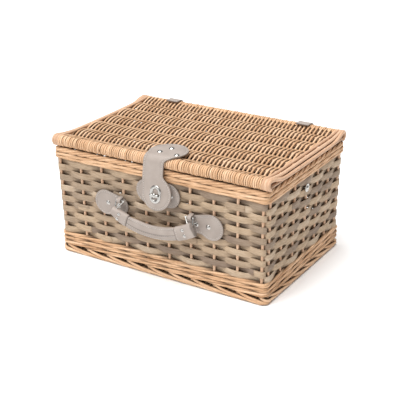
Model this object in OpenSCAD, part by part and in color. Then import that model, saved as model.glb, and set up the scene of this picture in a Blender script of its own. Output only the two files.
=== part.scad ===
/* [Basket] */
// Half width of the basket at its base
base_half_w = 194; // [150:1:240]
// Half depth of the basket at its base
base_half_d = 128.5; // [110:0.5:160]
// How much each wall leans out for each millimetre of height
wall_lean = 0.0235; // [0:0.0005:0.04]
// Outer corner radius of the walls
corner_r = 10; // [8:1:16]
// Height of the braided border that the basket stands on
foot_h = 13; // [10:1:20]
// Height of the twisted willow rows above the foot border
bottom_wale_h = 24; // [12:1:40]
// Number of rows of flat chips
chip_rows = 14; // [8:2:20]
// Height of one row of chips
chip_pitch = 9.2; // [7:0.1:12]
// Height of the twisted willow rows above the chips
top_wale_h = 12; // [8:1:20]
// Height of the rim border
rim_h = 7.5; // [6:0.5:12]

/* [Stakes] */
// Diameter of the upright stakes
stake_d = 4; // [3:0.1:4.2]
// Number of stakes in the front wall, and in the back wall
stakes_long = 10; // [6:1:14]
// Number of stakes in each end wall
stakes_short = 7; // [5:1:9]
// Distance between stakes in the front and back walls
stake_pitch_long = 41.3; // [20:0.1:42]
// Distance between stakes in the end walls
stake_pitch_short = 39; // [20:0.1:40]

/* [Lid] */
// Outer diameter of the wrapped front and rear rails
rail_wrap_d = 19; // [16:0.5:24]
// Diameter of the bare rail inside its wrapping
rail_d = 11.6; // [8:0.1:14]
// Distance from the middle of the lid to each rail
rail_y = 123.5; // [100:0.5:150]
// Number of inner sticks
lid_stick_count = 5; // [3:1:8]
// Diameter of an inner stick
lid_stick_d = 7.6; // [5:0.1:9]
// Thickness of the woven field of the lid
lid_field_t = 15.6; // [14:0.1:18]
// Diameter of the thick outermost rod at each end of the lid
side_rod_d = 9.6; // [7:0.1:11]
// Diameter of the thinner rod beside it
inner_side_rod_d = 5.5; // [4:0.1:7]

/* [Leather] */
// Thickness of the leather of the strap and patches
leather_t = 2.8; // [2:0.1:3]
// Thickness of the leather of the hinges
hinge_t = 2.3; // [1.5:0.1:2.5]
// Width of a hinge strap
hinge_w = 23; // [20:1:40]
// Distance of each hinge strap from the middle
hinge_x = 128; // [80:1:140]

/* [Closing strap and lock] */
// Position of the strap and the lock along the front
lock_x = 10; // [0:0.5:12]
// Height of the lock
lock_z = 148.8; // [146:0.1:152]
// Width of the strap where it crosses the front rail
strap_neck_w = 37; // [30:1:44]
// Radius of the strap's round head on the lid
strap_head_r = 31; // [24:0.5:32]
// Radius of the round end of the hanging flap
strap_lobe_r = 26.5; // [20:0.5:28]
// Lean of the hanging flap away from the wall, in degrees
flap_lean = 10; // [10:0.5:11]

/* [Handle] */
// Position of the middle of the handle along the front
handle_x = 3.5; // [0:0.5:10]
// Radius of the handle's curve
handle_r = 147; // [140:1:155]
// Height of the middle of the handle
handle_low_z = 87; // [82:0.5:90]
// Width of the padded grip
grip_w = 21; // [18:0.5:22]
// Thickness of the padded grip
grip_t = 9; // [7:0.1:9]
// Distance from the middle of the handle to each patch loop
loop_dx = 65.5; // [65:0.1:66]
// Diameter of the ring wire
wire_d = 2.6; // [2:0.1:3]

/* [Hidden] */

willow = [0.86, 0.66, 0.45];
willow_dark = [0.74, 0.50, 0.33];
chip = [0.62, 0.57, 0.49];
leather = [0.66, 0.62, 0.59];
metal = [0.78, 0.78, 0.79];

// Levels of the wall's rings, from the ground up
wale_z0 = foot_h;
chip_z0 = wale_z0 + bottom_wale_h;
chip_z1 = chip_z0 + chip_rows * chip_pitch;
rim_z0 = chip_z1 + top_wale_h;
rim_z1 = rim_z0 + rim_h;
corner_steps = 6;
foot_t = 10;
wale_t = 9;
rim_t = 9.5;
chip_t = 1.6;
// Depths inside the wall's nominal face: outer chips, stakes, inner chips
chip_out = 1.2;
stake_in = chip_out + chip_t + 0.2 + stake_d / 2;
chip_in = stake_in + stake_d / 2 + 0.2;
wall_depth = chip_in + chip_t;
lean_deg = atan(wall_lean);
stake_bury = 5;

base_t = 9;
base_corner_r = max(corner_r - foot_t, 2);
base_stick_d = 5;
base_stick_count = 5;
base_stick_pitch = 44;
fit_gap = 0.1;
face_gap = 0.05;

// Rivets: heads, shank and inner washer
rivet_d = 8;
rivet_h = 1.8;
shank_d = 2.2;
washer_d = 10;
washer_t = 1;
head_rivet_d = 9;
head_rivet_h = 2.2;
end_rivet_d = 5.6;
end_rivet_h = 1.3;
end_rivet_depth = 2;
side_rivet_y = -5;
side_rivet_z = 150;
side_washer_d = 13;

// The lid lies on the rim
lid_gap = 0.5;
rail_wrap_r = rail_wrap_d / 2;
rail_z = rim_z1 + lid_gap + rail_wrap_r;
lid_field_z = rail_z + 1.3;
lid_field_low = lid_field_z - lid_field_t / 2;
stick_pitch = 2 * rail_y / (lid_stick_count + 1);
lid_half_w = 200;
lid_half_d = rail_y + rail_wrap_r;
side_rod_x = lid_half_w - side_rod_d / 2;
inner_side_rod_x = side_rod_x - side_rod_d / 2 - inner_side_rod_d / 2 - fit_gap;
lid_field_half_w = inner_side_rod_x - inner_side_rod_d / 2 - face_gap;
peg_depth = 2.5;

// The hinge line of the lid, in the free leather behind the rim
lid_axis_y = 135;
lid_axis_z = rim_z1 + 1;
wall_leaf_z1 = 183;
wall_leaf_z0 = 138;
hinge_rivet_z = [172, 152];
// Where the lid leaf starts and ends round the rear rail, in degrees
hinge_wrap_a = [-20, 106];

strap_gap = 0.15;
strap_r_in = rail_wrap_r + strap_gap;
strap_axis_y = -rail_y - strap_r_in - leather_t / 2;
strap_top_z = rail_z + strap_r_in + leather_t;
strap_head_y = -105;
strap_neck_x = 2;
flap_lobe_x = 11.5;
// Where the head ends round the front rail, in degrees, and how far below it the flap starts
strap_wrap_a = 178;
flap_start = 1.5;
flap_lobe_s = 45.5;
lock_s = (rail_z - lock_z) / cos(flap_lean);
eyelet_w = 20;
eyelet_h = 28;
slot_w = 8.6;
slot_h = 17.6;
eyelet_wall = 1.1;
eyelet_front_t = 1.3;
eyelet_back_t = 0.8;
eyelet_back_margin = 4;
head_rivet_spots = [[-9.3, -10.1], [21.9, -10.9], [-1.3, 10.7]];
backing_x = 6.75;
backing_w = 80;
backing_h = 39.4;
backing_z = 146;
backing_rivet_dx = 24;
lock_plate_w = 18;
lock_plate_h = 25;
lock_plate_t = 1.2;
post_d = 5;
spindle_d = 3;
knob_back_y = -147.4;
knob_t = 3.2;
knob_w = 16;
knob_h = 5;
knob_boss_d = 8;
knob_gap = 0.2;

patch_z = 110;
patch_outer_dx = 98;
patch_outer_r = 21;
patch_inner_dx = 69.5;
patch_inner_r = 14.5;
patch_waist_z = -7;
patch_rivet_dx = [72, 93.2];
patch_rivet_z = 0;

handle_y = -147;
handle_end_a = 31;
grip_a = 18;
end_w = grip_w + 2;
end_t = grip_t + 1.5;
end_rivet_a = 24.5;
end_rivet_r = 4.6;
handle_axis_y = -139.5;
handle_axis_z = 122.5;
// The ring: two corners on the patch side, two inside the end of the handle
ring_top_dx = [57, 71];
ring_low_a = 28.5;
ring_low_r = 6;
loop_r = 4;
loop_half = 3.4;
loop_tab_h = 5;
loop_gap = 0.1;
// The wire is a little thicker where it bends
ring_knee = 1.15;

$fn = 48;

function half_w(z) = base_half_w + wall_lean * z;
function half_d(z) = base_half_d + wall_lean * z;

// Points of the rounded outline of the basket at height z, moved out by grow
function outline(z, grow) = [
    for (c = [0:3])
        for (k = [0:corner_steps])
            let (
                a = 90 * (c + k / corner_steps),
                sx = (c == 0 || c == 3) ? 1 : -1,
                sy = c < 2 ? 1 : -1,
                r = max(corner_r + grow, 2)
            )
            [sx * (half_w(z) + grow - r) + r * cos(a), sy * (half_d(z) + grow - r) + r * sin(a), z]
];

// A ring of wall between two heights, whose outer face lies depth inside the nominal wall
module wall_ring(z0, z1, depth, t) {
    n = 4 * (corner_steps + 1);
    pts = concat(outline(z0, -depth), outline(z1, -depth), outline(z0, -depth - t), outline(z1, -depth - t));
    faces = [
        for (i = [0:n - 1])
            let (j = (i + 1) % n)
            each [
                [i, n + i, n + j, j],
                [2 * n + i, 2 * n + j, 3 * n + j, 3 * n + i],
                [n + i, 3 * n + i, 3 * n + j, n + j],
                [i, j, 2 * n + j, 2 * n + i]
            ]
    ];
    polyhedron(points = pts, faces = faces, convexity = 4);
}

// A round rod between two points
module rod(p, q, d) {
    v = q - p;
    translate(p)
        rotate([0, acos(v[2] / norm(v)), atan2(v[1], v[0])])
            cylinder(h = norm(v), d = d);
}

// A row of leaning stakes in the front wall
module stake_row(count, pitch, face) {
    for (i = [0:count - 1]) {
        x = (i - (count - 1) / 2) * pitch;
        z0 = foot_h - stake_bury;
        z1 = rim_z0 + stake_bury;
        rod([x, -(face + wall_lean * z0 - stake_in), z0], [x, -(face + wall_lean * z1 - stake_in), z1], stake_d);
    }
}

// Places children on the front wall: X right, Y up the wall, Z outwards
module on_front(x, z, out) {
    translate([x, -(half_d(z) + out), z])
        rotate([90 + lean_deg, 0, 0])
            children();
}

module on_back(x, z, out) {
    rotate([0, 0, 180])
        on_front(-x, z, out)
            children();
}

module on_side(side, y, z, out) {
    translate([side * (half_w(z) + out), y, z])
        rotate([90 + lean_deg, 0, side * 90])
            children();
}

// Places children in the hanging flap's own plane: X right, Y up the flap, Z outwards
module on_flap() {
    translate([lock_x, strap_axis_y, rail_z])
        rotate([90 - flap_lean, 0, 0])
            children();
}

// A shape with two straight sides and two round ends, w wide and h high
module stadium(w, h) {
    d = min(w, h);
    square([w > h ? w - d : d, w > h ? d : h - d], center = true);
    for (s = [-1, 1])
        translate([w > h ? s * (w - d) / 2 : 0, w > h ? 0 : s * (h - d) / 2])
            circle(d = d);
}

// A domed rivet head on the plane Z = 0, with its shank and inner washer below
module rivet(head_d, head_h, shank_l, washer) {
    cap_r = (head_h * head_h + head_d * head_d / 4) / (2 * head_h);
    intersection() {
        translate([0, 0, head_h - cap_r])
            sphere(r = cap_r);
        cylinder(h = head_h, d = head_d);
    }
    translate([0, 0, -shank_l])
        cylinder(h = shank_l, d = shank_d);
    if (washer > 0)
        translate([0, 0, -shank_l - washer_t])
            cylinder(h = washer_t, d = washer);
}

// A bent strip of leather round a rail, from angle a0 to a1, w wide along X
module rail_strip(w, t, a0, a1) {
    reach = 3 * rail_wrap_r;
    rotate([90, 0, 90])
        translate([0, 0, -w / 2])
            linear_extrude(w)
                intersection() {
                    difference() {
                        circle(r = strap_r_in + t, $fn = 96);
                        circle(r = strap_r_in, $fn = 96);
                    }
                    polygon([
                        [0, 0],
                        for (k = [0:4])
                            let (a = a0 + (a1 - a0) * k / 4)
                            [reach * cos(a), reach * sin(a)]
                    ]);
                }
}

// ---- basket ----

module base_panel() {
    color(willow)
        difference() {
            linear_extrude(base_t)
                union() {
                    w = 2 * (base_half_w - foot_t - face_gap);
                    d = 2 * (base_half_d - foot_t - face_gap);
                    square([w - 2 * base_corner_r, d], center = true);
                    square([w, d - 2 * base_corner_r], center = true);
                    for (sx = [-1, 1])
                        for (sy = [-1, 1])
                            translate([sx * (w / 2 - base_corner_r), sy * (d / 2 - base_corner_r)])
                                circle(r = base_corner_r);
                }
            base_stick_rods(base_stick_d + fit_gap, base_half_w);
        }
}

module base_stick_rods(d, reach) {
    for (i = [0:base_stick_count - 1])
        translate([0, (i - (base_stick_count - 1) / 2) * base_stick_pitch, base_t / 2])
            rotate([0, 90, 0])
                cylinder(h = 2 * reach, d = d, center = true);
}

module base_sticks() {
    color(willow_dark)
        base_stick_rods(base_stick_d, base_half_w - foot_t - 1);
}

module foot_border() {
    color(willow)
        wall_ring(0, foot_h, 0, foot_t);
}

module bottom_wale() {
    color(willow)
        wall_ring(wale_z0, chip_z0, 0, wale_t);
}

module chip_weave() {
    color(chip) {
        wall_ring(chip_z0, chip_z1, chip_out, chip_t);
        wall_ring(chip_z0, chip_z1, chip_in, chip_t);
    }
}

module stakes_front() {
    color(willow_dark)
        stake_row(stakes_long, stake_pitch_long, base_half_d);
}

module stakes_back() {
    color(willow_dark)
        rotate([0, 0, 180])
            stake_row(stakes_long, stake_pitch_long, base_half_d);
}

module stakes_left() {
    color(willow_dark)
        rotate([0, 0, -90])
            stake_row(stakes_short, stake_pitch_short, base_half_w);
}

module stakes_right() {
    color(willow_dark)
        rotate([0, 0, 90])
            stake_row(stakes_short, stake_pitch_short, base_half_w);
}

module top_wale() {
    color(willow)
        wall_ring(chip_z1, rim_z0, 0, wale_t);
}

module rim_border() {
    color(willow)
        wall_ring(rim_z0, rim_z1, 0, rim_t);
}

module lock_backing() {
    color(leather)
        on_front(backing_x, backing_z, face_gap - chip_out)
            linear_extrude(leather_t)
                stadium(backing_w, backing_h);
}

module lock_backing_rivets() {
    color(metal)
        for (s = [-1, 1])
            on_front(backing_x + s * backing_rivet_dx, backing_z, leather_t + 2 * face_gap - chip_out)
                rivet(rivet_d, rivet_h, leather_t + wall_depth, washer_d);
}

module lock_base() {
    plate_out = leather_t + 2 * face_gap - chip_out;
    post_y = -(half_d(lock_z) + plate_out);
    color(metal) {
        on_front(lock_x, lock_z, plate_out)
            linear_extrude(lock_plate_t)
                stadium(lock_plate_w, lock_plate_h);
        translate([lock_x, post_y - lock_plate_t / 2, lock_z])
            rotate([90, 0, 0])
                cylinder(h = post_y - lock_plate_t / 2 - knob_back_y - knob_gap, d = post_d);
        translate([lock_x, post_y - lock_plate_t, lock_z])
            rotate([90, 0, 0])
                cylinder(h = post_y - lock_plate_t - knob_back_y + knob_t, d = spindle_d);
    }
}

// Outline of a handle patch: a large outer lobe and a small inner one
module patch_outline() {
    translate([patch_outer_dx, 0])
        circle(r = patch_outer_r, $fn = 96);
    translate([patch_inner_dx, 0])
        circle(r = patch_inner_r, $fn = 96);
    polygon([
        [patch_inner_dx, patch_inner_r],
        [patch_outer_dx, patch_outer_r],
        [patch_outer_dx, patch_waist_z],
        [patch_inner_dx, patch_waist_z]
    ]);
}

module handle_patch(side) {
    color(leather)
        on_front(handle_x, patch_z, face_gap - chip_out)
            linear_extrude(leather_t)
                mirror([side < 0 ? 1 : 0, 0, 0])
                    patch_outline();
}

module handle_patch_left() { handle_patch(-1); }

module handle_patch_right() { handle_patch(1); }

module patch_rivets(side) {
    color(metal)
        for (dx = patch_rivet_dx)
            on_front(handle_x + side * dx, patch_z + patch_rivet_z, leather_t + 2 * face_gap - chip_out)
                rivet(rivet_d, rivet_h, leather_t + wall_depth, washer_d);
}

module patch_rivets_left() { patch_rivets(-1); }

module patch_rivets_right() { patch_rivets(1); }

module hinge_wall_leaf(side) {
    mid_z = (wall_leaf_z0 + wall_leaf_z1) / 2;
    color(leather)
        on_back(side * hinge_x, mid_z, face_gap)
            linear_extrude(hinge_t)
                union() {
                    h = wall_leaf_z1 - wall_leaf_z0;
                    translate([-hinge_w / 2, hinge_w / 2 - h / 2])
                        square([hinge_w, h - hinge_w / 2]);
                    translate([0, hinge_w / 2 - h / 2])
                        circle(d = hinge_w, $fn = 96);
                }
}

module hinge_left_wall_leaf() { hinge_wall_leaf(-1); }

module hinge_right_wall_leaf() { hinge_wall_leaf(1); }

module hinge_wall_rivets() {
    color(metal)
        for (s = [-1, 1])
            for (z = hinge_rivet_z)
                on_back(s * hinge_x, z, hinge_t + 2 * face_gap)
                    rivet(rivet_d, rivet_h, hinge_t + rim_t + fit_gap, washer_d);
}

module side_rivets() {
    color(metal)
        for (s = [-1, 1])
            on_side(s, side_rivet_y, side_rivet_z, face_gap - chip_out) {
                cylinder(h = washer_t, d = side_washer_d);
                translate([0, 0, washer_t])
                    rivet(rivet_d, head_rivet_h, wall_depth + washer_t, side_washer_d);
            }
}

// ---- lid ----

module lid_rail(side) {
    color(willow_dark)
        translate([0, side * rail_y, rail_z])
            rotate([0, 90, 0])
                cylinder(h = 2 * (side_rod_x - side_rod_d / 2 + peg_depth), d = rail_d, center = true);
}

module lid_front_rail() { lid_rail(-1); }

module lid_rear_rail() { lid_rail(1); }

module lid_side_rods(side) {
    color(willow_dark) {
        translate([side * side_rod_x, 0, rail_z])
            rotate([90, 0, 0])
                cylinder(h = 2 * lid_half_d, d = side_rod_d, center = true);
        translate([side * inner_side_rod_x, 0, rail_z])
            rotate([90, 0, 0])
                cylinder(h = 2 * lid_half_d, d = inner_side_rod_d, center = true);
    }
}

module lid_side_rods_left() { lid_side_rods(-1); }

module lid_side_rods_right() { lid_side_rods(1); }

module lid_stick_rods(d, reach) {
    for (i = [1:lid_stick_count])
        translate([0, -rail_y + i * stick_pitch, lid_field_z])
            rotate([0, 90, 0])
                cylinder(h = 2 * reach, d = d, center = true);
}

module lid_sticks() {
    color(willow_dark)
        lid_stick_rods(lid_stick_d, side_rod_x - side_rod_d / 2 + peg_depth);
}

module lid_weave() {
    color(willow)
        difference() {
            rotate([90, 0, 90])
                translate([0, 0, -lid_field_half_w])
                    linear_extrude(2 * lid_field_half_w)
                        difference() {
                            union() {
                                translate([0, lid_field_z])
                                    square([2 * rail_y, lid_field_t], center = true);
                                for (s = [-1, 1])
                                    translate([s * rail_y, rail_z])
                                        circle(d = rail_wrap_d, $fn = 96);
                            }
                            for (s = [-1, 1])
                                translate([s * rail_y, rail_z])
                                    circle(d = rail_d + fit_gap, $fn = 96);
                        }
            lid_stick_rods(lid_stick_d + fit_gap, lid_half_w);
        }
}

module strap_head() {
    color(leather) {
        difference() {
            translate([lock_x, strap_head_y, rail_z + strap_r_in])
                cylinder(h = leather_t, r = strap_head_r, $fn = 96);
            translate([lock_x - 2 * strap_head_r, -rail_y - 2 * strap_head_r, rail_z])
                cube([4 * strap_head_r, 2 * strap_head_r, 2 * strap_r_in]);
        }
        translate([strap_neck_x, -rail_y, rail_z])
            rail_strip(strap_neck_w, leather_t, 90, strap_wrap_a);
    }
}

module strap_head_rivets() {
    color(metal)
        for (p = head_rivet_spots)
            translate([lock_x + p[0], strap_head_y + p[1], strap_top_z + face_gap])
                rivet(head_rivet_d, head_rivet_h, strap_top_z + face_gap - lid_field_low, washer_d);
}

module hinge_lid_leaf(side) {
    color(leather)
        translate([side * hinge_x, rail_y, rail_z])
            rail_strip(hinge_w, hinge_t, hinge_wrap_a[0], hinge_wrap_a[1]);
}

module hinge_left_lid_leaf() { hinge_lid_leaf(-1); }

module hinge_right_lid_leaf() { hinge_lid_leaf(1); }

// ---- closing strap and lock ----

module strap_flap() {
    color(leather)
        on_flap()
            translate([0, 0, -leather_t / 2])
                linear_extrude(leather_t)
                    difference() {
                        union() {
                            translate([strap_neck_x - lock_x - strap_neck_w / 2, -flap_lobe_s])
                                square([strap_neck_w, flap_lobe_s - flap_start]);
                            translate([flap_lobe_x - lock_x, -flap_lobe_s])
                                circle(r = strap_lobe_r, $fn = 96);
                        }
                        translate([0, -lock_s])
                            stadium(slot_w + 2 * eyelet_wall, slot_h + 2 * eyelet_wall);
                    }
}

module lock_eyelet() {
    back_z = -leather_t / 2 - face_gap - eyelet_back_t;
    front_z = leather_t / 2 + face_gap;
    color(metal)
        on_flap()
            translate([0, -lock_s, 0])
                difference() {
                    union() {
                        translate([0, 0, front_z])
                            linear_extrude(eyelet_front_t)
                                stadium(eyelet_w, eyelet_h);
                        translate([0, 0, back_z])
                            linear_extrude(front_z - back_z)
                                stadium(
                                    slot_w + 2 * eyelet_wall - fit_gap,
                                    slot_h + 2 * eyelet_wall - fit_gap
                                );
                        translate([0, 0, back_z])
                            linear_extrude(eyelet_back_t)
                                stadium(eyelet_w - eyelet_back_margin, eyelet_h - eyelet_back_margin);
                    }
                    translate([0, 0, back_z - 1])
                        linear_extrude(front_z - back_z + eyelet_front_t + 2)
                            stadium(slot_w, slot_h);
                }
}

module lock_knob() {
    color(metal)
        translate([lock_x, knob_back_y, lock_z])
            rotate([90, 0, 0])
                difference() {
                    union() {
                        linear_extrude(knob_t)
                            stadium(knob_w, knob_h);
                        cylinder(h = knob_t, d = knob_boss_d);
                    }
                    translate([0, 0, -1])
                        cylinder(h = knob_t + 2, d = spindle_d + fit_gap);
                }
}

// ---- handle ----

// A curved bar along the handle's arc, from angle a0 to a1 off its lowest point
module handle_bar(w, t, a0, a1) {
    translate([handle_x, handle_y, handle_low_z + handle_r])
        rotate([90, 0, 0])
            rotate([0, 0, a0 - 90])
                rotate_extrude(angle = a1 - a0, $fn = 360)
                    translate([handle_r, 0])
                        stadium(w, t);
}

// A point on the handle's arc at angle a off its lowest point
function arc_point(a, r) = [
    handle_x + r * sin(a),
    handle_y,
    handle_low_z + handle_r - r * cos(a)
];

module handle_grip() {
    color(leather)
        handle_bar(grip_w, grip_t, -grip_a, grip_a);
}

module handle_end_left() {
    color(leather)
        difference() {
            handle_bar(end_w, end_t, -handle_end_a, -grip_a);
            wire_ring(wire_d + fit_gap);
        }
}

module handle_end_right() {
    mirror_handle()
        handle_end_left();
}

module handle_end_rivets() {
    color(metal)
        for (s = [-1, 1])
            for (t = [-1, 1])
                translate(arc_point(s * end_rivet_a, handle_r + t * end_rivet_r))
                    rotate([90, 0, 0])
                        translate([0, 0, end_t / 2 + face_gap])
                            rivet(end_rivet_d, end_rivet_h, end_rivet_depth, 0);
}

// Mirrors the left half of the handle to the right half
module mirror_handle() {
    translate([2 * handle_x, 0, 0])
        mirror([1, 0, 0])
            children();
}

// A four-sided ring of wire from the left patch loop down into the end of the handle
module wire_ring(d) {
    corners = [
        [handle_x - ring_top_dx[0], handle_axis_y, handle_axis_z],
        [handle_x - ring_top_dx[1], handle_axis_y, handle_axis_z],
        arc_point(-ring_low_a, handle_r + ring_low_r),
        arc_point(-ring_low_a, handle_r - ring_low_r)
    ];
    for (i = [0:3]) {
        rod(corners[i], corners[(i + 1) % 4], d);
        translate(corners[i])
            sphere(d = d * ring_knee);
    }
}

module ring_left() {
    color(metal)
        wire_ring(wire_d);
}

module ring_right() {
    mirror_handle()
        ring_left();
}

// The fold of a handle patch round its wire ring, with a tab back to the patch
module patch_loop(side) {
    patch_face_y = -(half_d(handle_axis_z) + leather_t + 2 * face_gap - chip_out + loop_gap);
    color(leather)
        translate([handle_x + side * loop_dx, handle_axis_y, handle_axis_z])
            difference() {
                union() {
                    rotate([0, 90, 0])
                        cylinder(h = 2 * loop_half, r = loop_r, center = true);
                    translate([-loop_half, 0, -loop_tab_h / 2])
                        cube([2 * loop_half, patch_face_y - handle_axis_y, loop_tab_h]);
                }
                rotate([0, 90, 0])
                    cylinder(h = 4 * loop_half, d = wire_d + fit_gap, center = true);
            }
}

module patch_loop_left() { patch_loop(-1); }

module patch_loop_right() { patch_loop(1); }

base_panel();
base_sticks();
foot_border();
bottom_wale();
chip_weave();
stakes_front();
stakes_back();
stakes_left();
stakes_right();
top_wale();
rim_border();
lock_backing();
lock_backing_rivets();
lock_base();
handle_patch_left();
handle_patch_right();
patch_rivets_left();
patch_rivets_right();
hinge_left_wall_leaf();
hinge_right_wall_leaf();
hinge_wall_rivets();
side_rivets();
lid_front_rail();
lid_rear_rail();
lid_side_rods_left();
lid_side_rods_right();
lid_sticks();
lid_weave();
strap_head();
strap_head_rivets();
hinge_left_lid_leaf();
hinge_right_lid_leaf();
strap_flap();
lock_eyelet();
lock_knob();
handle_grip();
handle_end_left();
handle_end_right();
handle_end_rivets();
ring_left();
ring_right();
patch_loop_left();
patch_loop_right();
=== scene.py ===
"""A willow hamper: woven walls and lid, leather strap with a turn lock, padded leather handle."""
import bisect
import random
from math import asin, atan2, copysign, cos, degrees, exp, pi, radians, sin, sqrt

import bpy
import numpy as np
from mathutils import Matrix, Vector


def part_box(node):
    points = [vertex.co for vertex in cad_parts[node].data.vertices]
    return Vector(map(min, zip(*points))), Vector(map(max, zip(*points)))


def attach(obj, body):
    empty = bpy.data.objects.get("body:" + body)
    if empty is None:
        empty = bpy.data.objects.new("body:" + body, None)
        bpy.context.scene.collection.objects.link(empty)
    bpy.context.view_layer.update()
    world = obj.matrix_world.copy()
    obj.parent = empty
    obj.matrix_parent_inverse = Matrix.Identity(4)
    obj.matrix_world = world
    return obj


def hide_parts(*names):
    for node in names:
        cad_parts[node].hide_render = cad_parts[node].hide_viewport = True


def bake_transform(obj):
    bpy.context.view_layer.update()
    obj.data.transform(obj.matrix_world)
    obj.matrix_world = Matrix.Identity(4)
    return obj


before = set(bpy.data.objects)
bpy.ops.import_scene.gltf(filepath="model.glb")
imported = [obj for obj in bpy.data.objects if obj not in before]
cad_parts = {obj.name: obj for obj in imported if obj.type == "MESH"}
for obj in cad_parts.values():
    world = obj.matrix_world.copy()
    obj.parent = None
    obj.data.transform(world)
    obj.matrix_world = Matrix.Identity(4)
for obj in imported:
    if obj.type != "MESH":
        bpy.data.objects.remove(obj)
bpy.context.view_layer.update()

MM = 0.001


def box_middle(node):
    """Centre of a node's box."""
    return [(low + high) / 2 for low, high in zip(*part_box(node))]


def box_half(node):
    """Half the size of a node's box."""
    return [(high - low) / 2 for low, high in zip(*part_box(node))]


def add_object(name, data):
    obj = bpy.data.objects.new(name, data)
    bpy.context.scene.collection.objects.link(obj)
    return obj


# ---------------------------------------------------------------- mesh building

def unit(v):
    return v / np.linalg.norm(v, axis=-1, keepdims=True)


def distances(path):
    """Distance along a path at each of its points."""
    return np.concatenate([[0], np.cumsum(np.linalg.norm(np.diff(path, axis=0), axis=1))])


def tangents(path, closed=False):
    """Unit direction of a path at each of its points."""
    if closed:
        return unit(np.roll(path, -1, 0) - np.roll(path, 1, 0))
    return unit(np.gradient(path, axis=0))


def ring_faces(rings, points, closed=False):
    """Quads between neighbouring rings; closed joins the last ring to the first."""
    faces = []
    for i in range(rings if closed else rings - 1):
        j = (i + 1) % rings
        for k in range(points):
            l = (k + 1) % points
            faces.append((i * points + k, i * points + l, j * points + l, j * points + k))
    return faces


def spread_out(value, points, closed):
    """Repeats one value per ring, or one per ring and point, over a strand with its two end points."""
    if np.isscalar(value):
        return value
    value = np.asarray(value, float)
    value = np.repeat(value, points) if value.ndim == 1 else value.ravel()
    return value if closed else np.concatenate([value, [value[0], value[-1]]])


class Strands:
    """Collects strands and plates into one mesh, with each point's tone, painted shade and straightened coordinates.
    """

    def __init__(self):
        self.verts, self.grain, self.tone, self.shade = [], [], [], []
        self.faces, self.mats = [], []
        self.count = 0

    def add(self, verts, grain, tone, faces, mat=0, shade=0.0):
        base = self.count
        self.verts.append(verts)
        self.grain.append(grain)
        self.tone.append(np.broadcast_to(tone, (len(verts),)))
        self.shade.append(np.broadcast_to(shade, (len(verts),)))
        self.faces += [tuple(base + i for i in f) for f in faces]
        self.mats += [mat] * len(faces)
        self.count += len(verts)

    def sweep(self, path, profile, ref, scale=None, closed=False, tone=0.5, shade=0.0, offset=0.0, mat=0, dome=0.0):
        """Sweeps a closed profile of (a, b) points along a path. a runs along ref, b across it."""
        path = np.asarray(path, float)
        n = len(path)
        tangent = tangents(path, closed)
        ref = np.broadcast_to(np.asarray(ref, float), path.shape)
        side = unit(ref - (ref * tangent).sum(1, keepdims=True) * tangent)
        cross = np.cross(tangent, side)
        profile = np.asarray(profile, float)
        if profile.ndim == 2:
            profile = np.repeat(profile[None], n, 0)
        m = profile.shape[1]
        if scale is not None:
            profile = profile * np.reshape(scale, (n, 1, -1))
        rings = path[:, None] + profile[:, :, :1] * side[:, None] + profile[:, :, 1:] * cross[:, None]
        along = distances(path) + offset
        grain = np.concatenate([np.repeat(along[:, None, None], m, 1), profile], 2)
        faces = ring_faces(n, m, closed)
        verts, grains = [rings.reshape(-1, 3)], [grain.reshape(-1, 3)]
        if not closed:
            for end, sign in ((0, -1), (n - 1, 1)):
                tip = path[end] + sign * dome * tangent[end]
                verts.append(tip[None])
                grains.append(np.array([[along[end], 0, 0]]))
                at = n * m + (0 if end == 0 else 1)
                for k in range(m):
                    l = (k + 1) % m
                    faces.append((at, end * m + l, end * m + k) if end == 0 else (at, end * m + k, end * m + l))
        tone, shade = (spread_out(value, m, closed) for value in (tone, shade))
        self.add(np.concatenate(verts), np.concatenate(grains), tone, faces, mat, shade)

    def rod(self, rng, path, radius, ref, sides=8, shades=None, facing=1.0, **more):
        """Sweeps a round rod; shades, one per ring of painted shade, are deepened on the side turned into the weave.
        """
        profile = round_profile(radius, sides)
        if shades is not None:
            more["shade"] = crevice(profile, shades, facing)
        self.sweep(path, profile, ref, offset=rng.uniform(0, 9), **more)

    def build(self, name, materials):
        mesh = bpy.data.meshes.new(name)
        mesh.from_pydata(np.concatenate(self.verts).tolist(), [], self.faces)
        mesh.polygons.foreach_set("material_index", self.mats)
        mesh.polygons.foreach_set("use_smooth", [True] * len(self.faces))
        grain = mesh.attributes.new("grain", "FLOAT_VECTOR", "POINT")
        grain.data.foreach_set("vector", np.concatenate(self.grain).astype(np.float32).ravel())
        for kind, values in (("tone", self.tone), ("shade", self.shade)):
            layer = mesh.attributes.new(kind, "FLOAT", "POINT")
            layer.data.foreach_set("value", np.concatenate(values).astype(np.float32))
        for material in materials:
            mesh.materials.append(material)
        mesh.validate()
        mesh.update()
        return add_object(name, mesh)

    def finish(self, name, body, slot, *nodes, materials=None):
        """Builds the mesh and finishes it as a piece in its slot's materials."""
        return finish_piece(self.build(name, materials or SLOT_MATERIALS[slot]), body, slot, *nodes)


def round_profile(radius, sides=8):
    angles = [2 * pi * k / sides for k in range(sides)]
    return [(radius * cos(a), radius * sin(a)) for a in angles]


def chip_profile(width, thick):
    """A flat chip with eased edges and a slight crown."""
    w, t, ease, crown = width / 2, thick / 2, thick * 0.3, thick * 0.12
    return [
        (-w, -t + ease), (-w + ease, -t), (0, -t - crown), (w - ease, -t), (w, -t + ease),
        (w, t - ease), (w - ease, t), (0, t + crown), (-w + ease, t), (-w, t - ease),
    ]


def smooth_step(t):
    t = np.clip(t, 0, 1)
    return t * t * (3 - 2 * t)


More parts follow.
